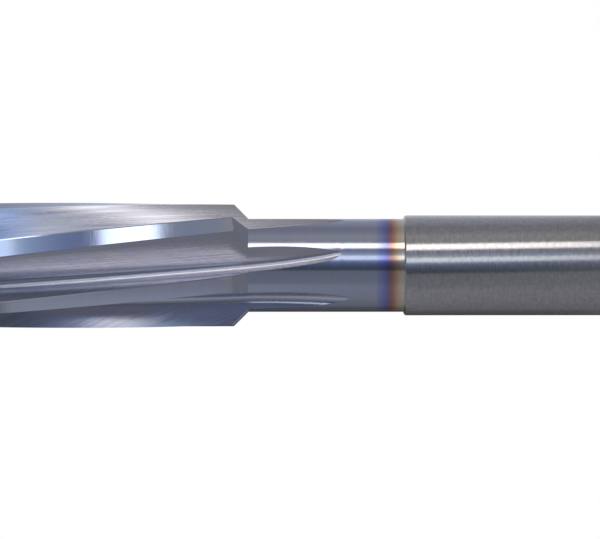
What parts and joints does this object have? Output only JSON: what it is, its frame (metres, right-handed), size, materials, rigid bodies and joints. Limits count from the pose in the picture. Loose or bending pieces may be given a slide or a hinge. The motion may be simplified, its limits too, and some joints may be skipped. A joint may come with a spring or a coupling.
{
  "type": "machine reamer",
  "caption": "Solid carbide machine reamer with left-hand spiral flutes, a ground neck and a plain cylindrical shank, for finishing drilled holes to size.",
  "frame": {"origin": "centre of the flat end face of the shank, on the tool's axis", "axes": "+Z along the tool's axis from the shank to the cutting tip; +X and +Y are square to it, and the cutting edges stand at uneven angles about Z, each edge facing its twin across the axis"},
  "size_m": [0.0125, 0.0124, 0.1],
  "materials": {
    "carbide": "satin"
  },
  "bodies": {
    "root": {"reamer": "carbide"}
  },
  "joints": []
}
